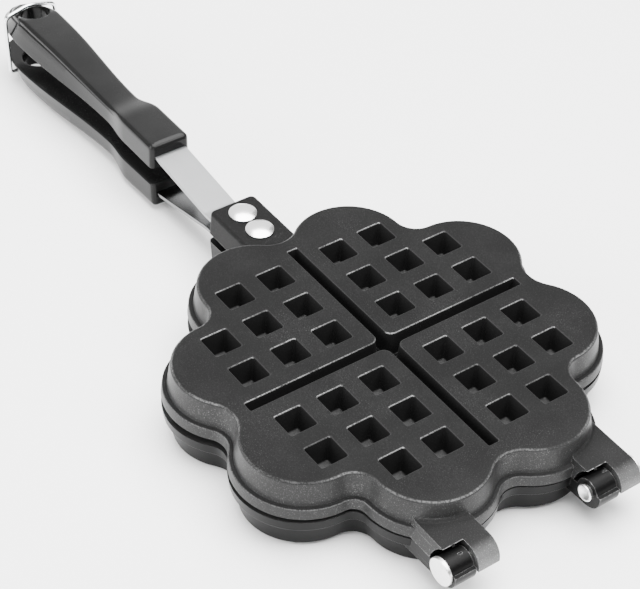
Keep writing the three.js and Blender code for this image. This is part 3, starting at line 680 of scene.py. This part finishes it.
def casting():
    """One pan in its own frame: its middle at the origin, its seam at height zero, its outer face on top."""
    shell = body("casting", pan_outside())
    # The face that closes the seam, next to last in the skin, is coated as the mould is
    shell.data.polygons[len(shell.data.polygons) - 2].material_index = mould
    combined(shell, "UNION", body("lug", handle_lug()))
    side = lug_width / 2 - lug_edge
    combined(shell, "UNION", root_round(-hinge_axis, -hinge_root, -side, side, lug_top))
    half = lug_width / 2 + lug_flare
    under = slab(rectangle(-lug_sink_start, 0, -half, half), -lug_sink - past_face, 0)
    combined(shell, "DIFFERENCE", body("under", under, finish=mould))
    root, wide, slim = -notch_reach(flange_spread), lug_foot_width / 2, lug_width / 2
    foot = [(root, wide), (root - lug_foot_length, slim), (root - lug_foot_length, -slim), (root, -wide)]
    web = body("web", slab(foot, 0, flange_height - flange_edge))
    worked(web, "BEVEL", width=lug_foot_edge * millimetre, segments=3, limit_method="ANGLE")
    combined(shell, "UNION", web)
    for joint in (-hinge_spread, hinge_spread):
        combined(shell, "UNION", hinge_lug(joint))
    combined(shell, "DIFFERENCE", body("cavity", pan_cavity(), finish=mould))
    for relief in mould_relief():
        combined(shell, "UNION", body("relief", relief, finish=mould))
    combined(shell, "DIFFERENCE", body("hollows", outside_hollows(), finish=hollow))
    half, roof = strap_width / 2 + seat_gap, strap_thickness / 2 + seat_gap
    channel = rectangle(-lug_length - past_face, seat_gap - strap_inner_end, -half, half)
    channel = slab(channel, -lug_sink - past_face, roof)
    combined(shell, "DIFFERENCE", body("channel", channel, finish=hollow))
    bores = rivet_holes(0, lug_top + past_face)
    reach = hinge_spread + 2 * knuckle_width
    bores.append(sideways(circle(hinge_axis, 0, pin_radius + seat_gap, steps=32), -reach, reach))
    middle = (punch_length - punch_width) / 2
    punch = np.concatenate([arc(0, side * middle, punch_width / 2, start, start + 2 * right_angle, steps=8)
                            for side, start in ((1, 0), (-1, 2 * right_angle))])
    bores += [slab(punch + [hinge_axis + x, y], -knuckle_milled_radius - past_face,
                   punch_depth - knuckle_milled_radius) for x, y in punch_places]
    combined(shell, "DIFFERENCE", body("bores", gathered(bores), finish=hollow))
    return shell


def tilted(points, angle, x, z):
    """Points turned about Y and then moved: X times the cosine plus Z times the sine is the new X, and Z
    times the cosine less X times the sine the new Z."""
    old_x, y, old_z = points.T
    cosine, sine = np.cos(angle), np.sin(angle)
    return np.stack([old_x * cosine + old_z * sine + x, y, old_z * cosine - old_x * sine + z], axis=1)


def in_lower(points):
    """From a pan's frame to its place as the lower one: half a turn about X, then to the seam."""
    return points * [1, -1, -1] + [hinge_line - hinge_axis, 0, seam_level]


def in_upper(points):
    """From a pan's frame to its place as the upper one: turned open about the hinge pins."""
    return tilted(points - [hinge_axis, 0, 0], open_at_rest, hinge_line, seam_level)


def coordinates(mesh):
    """The points of a mesh in millimetres."""
    points = np.empty(len(mesh.vertices) * 3)
    mesh.vertices.foreach_get("co", points)
    return points.reshape(-1, 3) / millimetre


def shaded(obj, angle=32):
    """Smooth shading that breaks at edges sharper than so many degrees, with big flat faces kept flat."""
    obj.data.polygons.foreach_set("use_smooth", np.ones(len(obj.data.polygons), bool))
    obj.data.set_sharp_from_angle(angle=np.radians(angle))
    return worked(obj, "WEIGHTED_NORMAL", keep_sharp=True)


def dressed_pan(side, source, frame_of, finishes):
    """A copy of the casting put in its place, with its own finishes. It keeps its places in the pan's frame,
    which its materials read."""
    mesh = source.data.copy()
    points = coordinates(mesh)
    kept = mesh.attributes.new("cast_place", "FLOAT_VECTOR", "POINT")
    kept.data.foreach_set("vector", (points * millimetre).ravel())
    mesh.vertices.foreach_set("co", (frame_of(points) * millimetre).ravel())
    for index, made in enumerate(finishes):
        mesh.materials[index] = made
    mesh.update()
    obj = bpy.data.objects.new(side + "_casting", mesh)
    bpy.context.scene.collection.objects.link(obj)
    shaded(obj)
    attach(obj, side + "_half")
    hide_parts(side + "_pan")


pan = casting()
dressed_pan("lower", pan, in_lower, (black, black_hollow, coated))
dressed_pan("upper", pan, in_upper, (charcoal, charcoal_hollow_painted_shade, coated))
bpy.data.objects.remove(pan)

# Two hinge pins. Each is a headed aluminium pin pushed through a pair of knuckles from outside and set with
# a punch at its inner end, which spreads the end and leaves a dimple.
pin_head_radius = 5.9
pin_head_height = 1.5
pin_head_edge = 0.4
pin_tail_radius = 3.7
pin_tail_height = 1.5
pin_tail_dimple = 0.9
dimple_steps = np.linspace(0.05, 1, 8)
turned_steps = 48
pole_radius = 0.05


def marked(name, grain, cloud):
    """A material that follows its piece's own coordinates: the material, its shader, those coordinates, and
    the marks of its skin, with grain and clouds of so many millimetres."""
    made, shader, given = material(name)
    marks = used(skin_effect, {"Place": given["Object"], "Grain": grain, "Cloud": cloud})
    return made, shader, given["Object"], marks


def headed_aluminium(name, base, roughness, grain_size, grain_strength, axis):
    """Bright aluminium with a fine grain drawn out along one axis, small pits and a few dull patches."""
    drawn_out, pit_share, depth = 0.15, 0.4, 0.03
    made, shader, place, marks = marked(name, grain=0.35, cloud=3)
    scale = [drawn_out if part == axis else 1.0 for part in range(3)]
    stretched = wire("Mapping", {"Vector": place, "Scale": scale}).outputs[0]
    grain = noise(stretched, 1 / (grain_size * millimetre), detail=2)
    colour = blended(marks["Tone"], grey(base * 0.88), grey(base * 1.05, warmth=0.01))
    rough = between(marks["Tone"], roughness * 1.35, roughness * 0.75)
    height = total(grain, product(marks["Height"], pit_share))
    joined(shader, {"Base Color": colour, "Roughness": rough, "Metallic": 1.0,
                    "Normal": bumped(height, grain_strength, depth)})
    return made


pin_metal = headed_aluminium("pin_aluminium", base=0.86, roughness=0.34, grain_size=0.4, grain_strength=0.5,
                             axis=1)


def turned(levels):
    """Circles stacked at heights, each of the radius paired with it."""
    return stacked(lambda radius: circle(0, 0, radius, turned_steps), levels)


def pin_shell():
    """A dimpled tail, a shank and a head. The dimple's depth falls with the square of the share of its
    radius."""
    seat = knuckle_side_gap / 2 + knuckle_width + seat_gap
    tail_end, head_end = -seat - pin_tail_height, seat + pin_head_height
    dimple = tail_end + pin_tail_dimple * (1 - dimple_steps ** 2)
    levels = list(zip(dimple, dimple_steps * (pin_tail_radius - pin_head_edge * 2)))
    levels += rounded(tail_end + pin_head_edge, pin_tail_radius, pin_head_edge, upward=-1)
    levels += [(-seat, pin_radius), (seat, pin_radius), (seat, pin_head_radius)]
    levels += rounded(head_end - pin_head_edge, pin_head_radius, pin_head_edge)
    return turned(levels + [(head_end, pole_radius)])


for side, name in ((-1, "left"), (1, "right")):
    points, faces = pin_shell()
    x, y, z = points.T
    points = np.stack([x, z * side, -y * side], axis=1) + [hinge_line, side * hinge_spread, seam_level]
    pin = shaded(body(name + "_pin", (points, faces), (pin_metal,)))
    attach(pin, "lower_half")
    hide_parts("hinge_pin_" + name)

# Two straps. Each is a flat steel bar with rounded edges, riveted under its lug, bent up once outside it and
# bent straight again at the grip, where it narrows to a tang that the grip is moulded around.
strap_first_bend = 123.016
strap_nose = 164.016
strap_rise = {"upper": 4.9, "lower": 6.6}
strap_sag = {"upper": 0.0, "lower": np.radians(0.9)}
strap_bend_lead = 1
strap_bend_radius = 14
strap_edge = 0.45
tang_width = 11
tang_shoulder = 5
tang_length = 98


def drawn_steel(name, base, roughness):
    """Steel with fine lines along X, dull clouds and small pits."""
    drawn_out, line_scale, pit_share, depth = 0.03, 4000, 0.5, 0.02
    made, shader, place, marks = marked(name, grain=0.6, cloud=9)
    stretched = wire("Mapping", {"Vector": place, "Scale": (drawn_out, 1, 1)}).outputs[0]
    lines = noise(stretched, line_scale, detail=3)
    cool = -0.012
    colour = blended(marks["Tone"], grey(base * 0.93, cool), grey(base * 1.04, cool))
    colour = blended(product(marks["Speck"], 0.25), colour, grey(base * 0.72))
    rough = between(lines, roughness * 0.8, roughness * 1.25)
    height = total(lines, product(marks["Height"], pit_share))
    joined(shader, {"Base Color": colour, "Roughness": rough, "Metallic": 1.0,
                    "Normal": bumped(height, 0.5, depth)})
    return made


# The lower strap's steel is coloured darker than the upper one's: painted shade for its place under the
# upper strap, between the grips
strap_steels = {"upper": drawn_steel("strap_steel", base=0.28, roughness=0.42),
                "lower": drawn_steel("strap_steel_painted_shade", base=0.16, roughness=0.22)}


def nose_of(side):
    """Where a strap enters its grip, as X and Z in the pan's frame: its rise turned about the first bend."""
    rise = np.array([[strap_first_bend - strap_nose, 0, strap_rise[side]]])
    return tilted(rise, strap_sag[side], -strap_first_bend, 0)[0, [0, 2]]


def bent(spots, cuts, steps):
    """A line through spots, with a bend at each corner that starts and ends at its cut's distance from it.
    With a share that runs from nothing to one, a bend is its start times the square of the rest, the corner
    times twice the share times the rest, and its end times the square of the share."""
    share = np.linspace(0, 1, steps)[:, None]
    path = [spots[:1]]
    for before, corner, after, cut in zip(spots, spots[1:], spots[2:], cuts):
        start = corner + (before - corner) / np.linalg.norm(before - corner) * cut
        end = corner + (after - corner) / np.linalg.norm(after - corner) * cut
        path.append((1 - share) ** 2 * start + 2 * share * (1 - share) * corner + share ** 2 * end)
    return np.concatenate(path + [spots[-1:]])


def square_to(along):
    """One unit square to each step along a path."""
    along = along / np.linalg.norm(along, axis=1, keepdims=True)
    return np.stack([-along[:, 1], along[:, 0]], axis=1)


def strap_path(side):
    """The strap's middle line in X and Z, with two bends, each cut at its radius times the tangent of half
    its turn, and with the shoulder twice before its end."""
    tang = np.array([-np.cos(strap_sag[side]), np.sin(strap_sag[side])])
    nose = nose_of(side)
    spots = np.array([(-strap_inner_end, 0), (-strap_first_bend, 0), nose - tang * strap_bend_lead,
                      nose + tang * tang_length])
    step_x, step_z = np.diff(spots, axis=0).T
    turns = np.diff(np.arctan2(step_z, -step_x))
    path = bent(spots, strap_bend_radius * np.tan(np.abs(turns) / 2), steps=7)
    shoulder = nose + tang * tang_shoulder
    return np.concatenate([path[:-1], [shoulder, shoulder], path[-1:]])


def strap_shell(side):
    """A rounded bar section carried along the middle line, square to it, narrower beyond the shoulder."""
    path = strap_path(side)
    along = np.gradient(path, axis=0)
    along[-3:] = path[-1] - path[-2]
    across = square_to(along)
    section = rounded_rectangle(strap_width / 2, strap_thickness / 2, strap_edge, steps=3)
    narrowing = np.zeros(len(path))
    narrowing[-2:] = (strap_width - tang_width) / 2
    y = section[None, :, 0] - np.sign(section[None, :, 0]) * narrowing[:, None]
    x = path[:, None, 0] + across[:, None, 0] * section[None, :, 1]
    z = path[:, None, 1] + across[:, None, 1] * section[None, :, 1]
    return skin(np.stack([x, y, z], axis=-1)[:, ::-1])


def placed(obj, frame_of):
    """Puts the points of an object's mesh where a frame has them."""
    points = frame_of(coordinates(obj.data))
    obj.data.vertices.foreach_set("co", (points * millimetre).ravel())


frame_of_side = {"lower": in_lower, "upper": in_upper}
for side, frame_of in frame_of_side.items():
    steel = (strap_steels[side],)
    bar = body(side + "_bar", strap_shell(side), steel)
    holes = gathered(rivet_holes(-strap_thickness, strap_thickness))
    combined(bar, "DIFFERENCE", body("holes", holes, steel))
    placed(bar, frame_of)
    shaded(bar)
    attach(bar, side + "_half")
    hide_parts(side + "_strap")

# Four rivets, two through each lug and its strap. Each is an aluminium rivet with a wide, low dome pressed
# on the lug's outer face and its tail spread flat on the strap.
rivet_head = 12.4
rivet_head_height = 1.9
rivet_rim = 0.35
rivet_tail = 8
rivet_tail_height = 0.8
dome_steps = np.linspace(0.05, 0.995, 14)

rivet_metal = headed_aluminium("rivet_aluminium", base=0.82, roughness=0.24, grain_size=0.9,
                               grain_strength=0.35, axis=2)


def rivet_shell():
    """A tail, a shank and a dome on a small upright rim. The dome's height falls with the square of the
    radius, which is the rim's times the cosine of a rising share of a right angle."""
    head, shank, tail, edge = rivet_head / 2, rivet_shank / 2, rivet_tail / 2, rivet_tail_height / 2
    head_seat, tail_seat = lug_top + seat_gap, -strap_thickness / 2 - seat_gap
    tail_end, rim = tail_seat - rivet_tail_height, head_seat + rivet_rim
    radii = head * np.cos(dome_steps * right_angle)
    dome = rim + (rivet_head_height - rivet_rim) * (1 - (radii / head) ** 2)
    levels = [(tail_end, pole_radius), (tail_end, tail - edge), (tail_end + edge, tail), (tail_seat, tail)]
    levels += [(tail_seat, shank), (head_seat, shank), (head_seat, head), (rim, head)]
    return turned(levels + list(zip(dome, radii)))


for side, frame_of in frame_of_side.items():
    for place, distance in rivet_places.items():
        points, faces = rivet_shell()
        points = frame_of(points - [distance, 0, 0])
        rivet = shaded(body(f"{side}_{place}_rivet", (points, faces), (rivet_metal,)))
        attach(rivet, side + "_half")
        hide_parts(f"{side}_rivet_{place}")

# Two grips. Each is one glossy black phenolic moulding around the strap's tang: a square nose, a narrow
# waist, and a swelling body with a rounded rear and a hanging hole. The lower one is bored across for the
# bail.
grip_length = 150
grip_inner = 5.8
grip_inner_edge = 0.8
grip_shoulder = 2.6
grip_nose_corner = 2.4
grip_crown = 0.3
grip_cap = 30
grip_fall = 8.2
grip_fall_power = 1.1
grip_cap_power = 0.95
grip_rake = 5
nose_width = 20.6
nose_height = 7.1
nose_flare = 0.4
nose_end = 25
waist_place = 43
waist_width = 17
waist_height = 4
waist_flare = 1.2
heel_place = 104
rear_width = 26.6
rear_height = 7.4
rear_flare = 6.6
hanging_hole_place = 126.8
hanging_hole_length = 16.6
hanging_hole_width = 15
hanging_hole_rim = 0.9
bail_place = 131
bail_seat = 0.6
wire_radius = 1
side_steps = 72
cap_steps = 29
width_steps = 9
side_shares = (0.25, 0.5, 0.75)
hanging_hole_steps = 64
merge_distance = 0.001


def moulded_black():
    """Black phenolic resin: a hard gloss with faint waves, dull clouds and a little dust."""
    dust_share, depth = 0.02, 0.03
    made, shader, _, marks = marked("black_phenolic", grain=0.7, cloud=14)
    colour = blended(marks["Tone"], grey(0.005), grey(0.01))
    colour = blended(product(marks["Speck"], dust_share), colour, grey(0.2))
    joined(shader, {"Base Color": colour, "Roughness": between(marks["Tone"], 0.13, 0.17),
                    "Normal": bumped(marks["Height"], 0.12, depth), "IOR": 1.2})
    return made


phenolic = (moulded_black(),)


def eased(place, start, end):
    """Nothing before the start, one past the end, and half a cosine wave between them."""
    return (1 - np.cos(np.pi * np.clip((place - start) / (end - start), 0, 1))) / 2


def along_grip(place, nose, waist, rear):
    """A size that is even over the nose, drawn in at the waist and swelling to the rear."""
    swell = eased(place, waist_place, heel_place + grip_cap / 2)
    return nose + (waist - nose) * eased(place, nose_end, waist_place) + (rear - waist) * swell


def grip_height(place):
    """Height of the outer face above the tang's middle, falling over the rounded rear."""
    to_waist, to_rear = eased(place, nose_end, waist_place), eased(place, waist_place, heel_place)
    even = nose_height + (waist_height - nose_height) * to_waist + (rear_height - waist_height) * to_rear
    return even - grip_fall * np.clip((place - grip_length + grip_cap) / grip_cap, 0, 1) ** grip_fall_power


def grip_side(share, inset):
    """Half an outline from the nose to the tip: a round corner, a long side and a superellipse round the
    rear. The share runs from the inner face to the outer one."""
    half_at = lambda place: (along_grip(place, nose_width, waist_width, rear_width) / 2
                             - along_grip(place, nose_flare, waist_flare, rear_flare) / 2 * share - inset)
    cap_start = grip_length - grip_cap
    corner = max(grip_nose_corner - inset, grip_inner_edge)
    nose = arc(inset + corner, half_at(0) - corner, corner, 2 * right_angle, right_angle, steps=6)
    places = np.linspace(inset + corner, cap_start, side_steps)[1:-1]
    side = np.stack([places, half_at(places)], axis=1)
    angle = np.linspace(0, right_angle, cap_steps)
    cap = np.stack([cap_start + (grip_cap - inset - grip_rake * share) * np.sin(angle) ** grip_cap_power,
                    half_at(cap_start) * np.abs(np.cos(angle)) ** grip_cap_power], axis=1)
    cap[-1, 1] = 0
    return np.concatenate([nose, side, cap])


def grip_shell():
    """A skin of two parameters: along the outline, and round from the middle of the inner face over the side
    to the middle of the outer face. The crown falls off with the square of the share of the width. The front
    is closed by strips from side to side, so that it takes the same rounds as the sides."""
    share_across = np.linspace(0, 1, width_steps)
    rows = []

    def row(share, inset, depth, width=1.0, crown=0.0):
        side = grip_side(share, inset)
        place = side[:, 0]
        level = -grip_inner + share * (grip_height(place) + grip_inner) - depth
        rows.append(np.stack([-place, side[:, 1] * width, level + crown], axis=1))

    for width in share_across[:-1]:
        row(0, grip_inner_edge, 0, width)
    for across, up in bevel_rings(grip_inner_edge, steps=4):
        row(0, grip_inner_edge - up, -across)
    for share in side_shares:
        row(share, 0, 0)
    for across, up in bevel_rings(grip_shoulder, steps=9):
        row(1, across, grip_shoulder - up)
    for width in share_across[-2::-1]:
        row(1, grip_shoulder, 0, width, grip_crown * (1 - width ** 2))
    half = np.stack(rows)
    mirrored = half[-2:0:-1] * [1, -1, 1]
    loop = np.concatenate([half, mirrored])
    points, faces = skin(np.swapaxes(loop, 0, 1))
    around, low, high = len(loop), len(share_across) - 1, len(half) - len(share_across)
    front = [list(range(low + 2)) + list(range(around - low - 1, around)),
             list(range(high - 1, around - high + 2))]
    front += [[i, i + 1, around - i - 1, around - i] for i in range(low + 1, high - 1)]
    return points, faces[:-2] + [face[::-1] for face in front] + faces[-1:]


def hole_ring(growth, height_at):
    """An oval ring of the hanging hole, at a height worked out from its place along the grip."""
    angle = np.linspace(0, 4 * right_angle, hanging_hole_steps, endpoint=False)
    x = (hanging_hole_length / 2 + growth) * np.cos(angle)
    y = (hanging_hole_width / 2 + growth) * np.sin(angle)
    place = hanging_hole_place - x
    return np.stack([-place, y, height_at(place)], axis=1)


def grip_hole():
    """Oval rings from below the inner face to above the outer one, with a quarter round at both rims."""
    rings = [hole_ring(hanging_hole_rim, lambda place: np.full(len(place), -grip_inner - past_face))]
    rings += [hole_ring(hanging_hole_rim - up, lambda place: np.full(len(place), -grip_inner + across))
              for across, up in bevel_rings(hanging_hole_rim)]
    rings += [hole_ring(across, lambda place: grip_height(place) + up - hanging_hole_rim + grip_crown)
              for across, up in bevel_rings(hanging_hole_rim)]
    rings.append(hole_ring(hanging_hole_rim, lambda place: grip_height(place) + past_face))
    return skin(rings)


def in_grip(points, side):
    """From a grip's frame, its nose at the origin, to the pan's frame."""
    return tilted(points, strap_sag[side], *nose_of(side))


for side, frame_of in frame_of_side.items():
    grip = body(side + "_grip", grip_shell(), phenolic)
    worked(grip, "WELD", merge_threshold=merge_distance * millimetre)
    combined(grip, "DIFFERENCE", body("hole", grip_hole(), phenolic))
    slot_half = strap_thickness / 2 + seat_gap
    for depth, width in ((tang_shoulder, strap_width), (tang_length, tang_width)):
        half = width / 2 + seat_gap
        slot = slab(rectangle(-depth - seat_gap, past_face, -half, half), -slot_half, slot_half)
        combined(grip, "DIFFERENCE", body("slot", slot, phenolic))
    if side == "lower":
        seat = circle(-bail_place, bail_seat, wire_radius + seat_gap, steps=24)
        combined(grip, "DIFFERENCE", body("seat", sideways(seat, -rear_width, rear_width), phenolic))
    placed(grip, lambda points: frame_of(in_grip(points, side)))
    shaded(grip, angle=40)
    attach(grip, side + "_half")
    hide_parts(side + "_handle")

# The bail. It is one bright steel wire bent to a stirrup, its feet sprung into the bore across the lower
# grip and its bowed crossbar hooked over the rear of the upper one.
bail_seat_depth = 3.6
bail_leg_gap = 27.6
bail_leg_length = 31.08
bail_arch = 3.4
bail_foot_bend = 1.6
bail_bend = 3.2
wire_steps = 20

bail_steel = drawn_steel("bright_wire", base=0.84, roughness=0.17)


def bail_path():
    """The wire's middle line in Y and Z: a foot, a leg, the two halves of the crossbar, a leg and a foot."""
    half = bail_leg_gap / 2
    foot = half - wire_radius - seat_gap - bail_seat_depth
    spots = [(-foot, 0), (-half, 0), (-half, bail_leg_length), (0, bail_leg_length + bail_arch),
             (half, bail_leg_length), (half, 0), (foot, 0)]
    cuts = [bail_foot_bend, bail_bend, bail_bend, bail_bend, bail_foot_bend]
    return bent(np.array(spots, float), cuts, steps=9)


path = bail_path()
across = square_to(np.gradient(path, axis=0))
angle = np.linspace(0, 4 * right_angle, wire_steps, endpoint=False)
# A circle square to the wire at each point of the line, half of it along X and half across the bend
rings = np.stack([
    np.broadcast_to(wire_radius * np.cos(angle), (len(path), wire_steps)),
    path[:, None, 0] + wire_radius * np.sin(angle) * across[:, None, 0],
    path[:, None, 1] + wire_radius * np.sin(angle) * across[:, None, 1],
], axis=-1)
points, faces = skin(rings[:, ::-1])
points = points * [1, -1, -1] + [-bail_place, 0, bail_seat]
bail = body("bail_wire", (in_lower(in_grip(points, "lower")), faces), (bail_steel,))
shaded(bail, angle=50)
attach(bail, "bail")
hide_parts("bail")

# The studio: a plain pale floor, soft square lamps over and beside the iron, and a camera above its hinge
# end. Each lamp has its place and its size in millimetres, and its power in watts.
floor_half = 3000
floor_level = -0.05
floor_thickness = 1
world_strength = 0.2
lamp_aim = np.array([60, 0, 20])
lamps = {
    "overhead": ((150, 150, 1600), 1700, 150),
    "back": ((-1180, 585, 940), 2000, 26),
    "front_left": ((-300, -1300, 500), 1100, 42),
    "front_right": ((1300, -700, 350), 600, 12),
    "edge": ((850, 600, 980), 380, 7),
}
camera_place = np.array([546.06, -355.18, 537.2])
camera_turn = np.radians([49.782, -0.899, 54.637])
camera_lens = 106.07
sensor_width = 36

floor_made, shader, _, marks = marked("pale_floor", grain=4, cloud=400)
floor_colour = blended(marks["Tone"], grey(0.9), grey(0.93))
joined(shader, {"Base Color": floor_colour, "Roughness": 0.7})
square = rectangle(-floor_half, floor_half, -floor_half, floor_half)
floor = body("floor", slab(square, floor_level - floor_thickness, floor_level), (floor_made,))

world = bpy.data.worlds.new("studio")
world.use_nodes = True
joined(world.node_tree.nodes["Background"], {"Color": grey(1), "Strength": world_strength})
bpy.context.scene.world = world

for name, (place, size, power) in lamps.items():
    light = bpy.data.lights.new(name, "AREA")
    light.shape = "SQUARE"
    light.size = size * millimetre
    light.energy = power
    lamp = bpy.data.objects.new(name, light)
    lamp.location = np.array(place) * millimetre
    lamp.rotation_euler = Vector(lamp_aim - np.array(place)).to_track_quat("-Z", "Y").to_euler()
    bpy.context.scene.collection.objects.link(lamp)

camera = bpy.data.objects.new("camera", bpy.data.cameras.new("camera"))
camera.data.sensor_fit = "HORIZONTAL"
camera.data.sensor_width = sensor_width
camera.data.lens = camera_lens
camera.location = camera_place * millimetre
camera.rotation_euler = camera_turn
bpy.context.scene.collection.objects.link(camera)
bpy.context.scene.camera = camera
